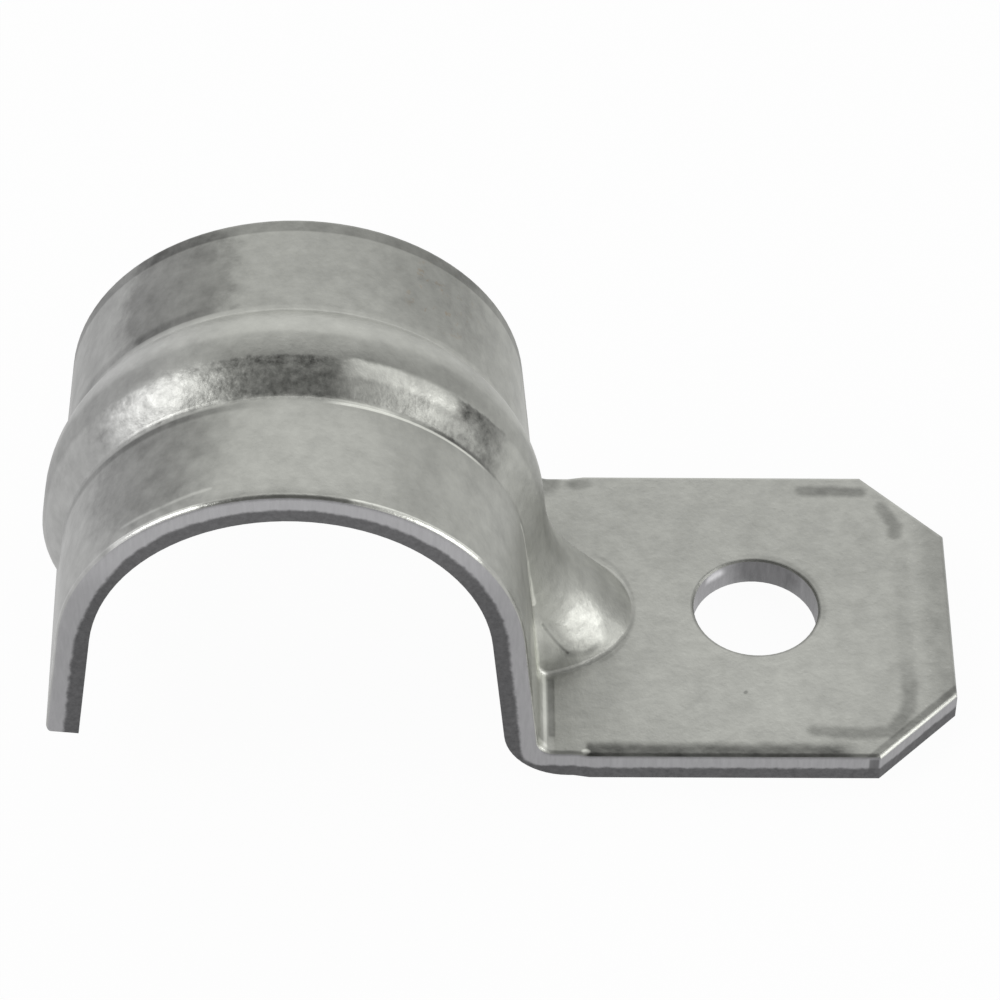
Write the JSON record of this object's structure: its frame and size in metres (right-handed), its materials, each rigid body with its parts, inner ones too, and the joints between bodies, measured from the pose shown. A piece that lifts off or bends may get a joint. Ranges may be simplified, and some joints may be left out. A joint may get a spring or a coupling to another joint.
{
  "type": "conduit strap",
  "caption": "Strap for half-inch rigid conduit: a ribbed saddle that turns through a gusseted bend into a flat foot with a screw hole and clipped corners.",
  "frame": {"origin": "centre of the screw hole in the plane of the wall, which is the underside of the foot", "axes": "+Z out of the wall along the screw, +Y along the conduit, +X from the conduit towards the end of the foot"},
  "size_m": [0.0505, 0.0209, 0.0235],
  "materials": {
    "zinc_coated_steel": "zinc coating, mottled grey on the flats, burnished bright on the rib, the bend and the rolled edges, dark and rough on the lower half of the cut edges"
  },
  "bodies": {
    "root": {"strap": "zinc_coated_steel"}
  },
  "joints": []
}
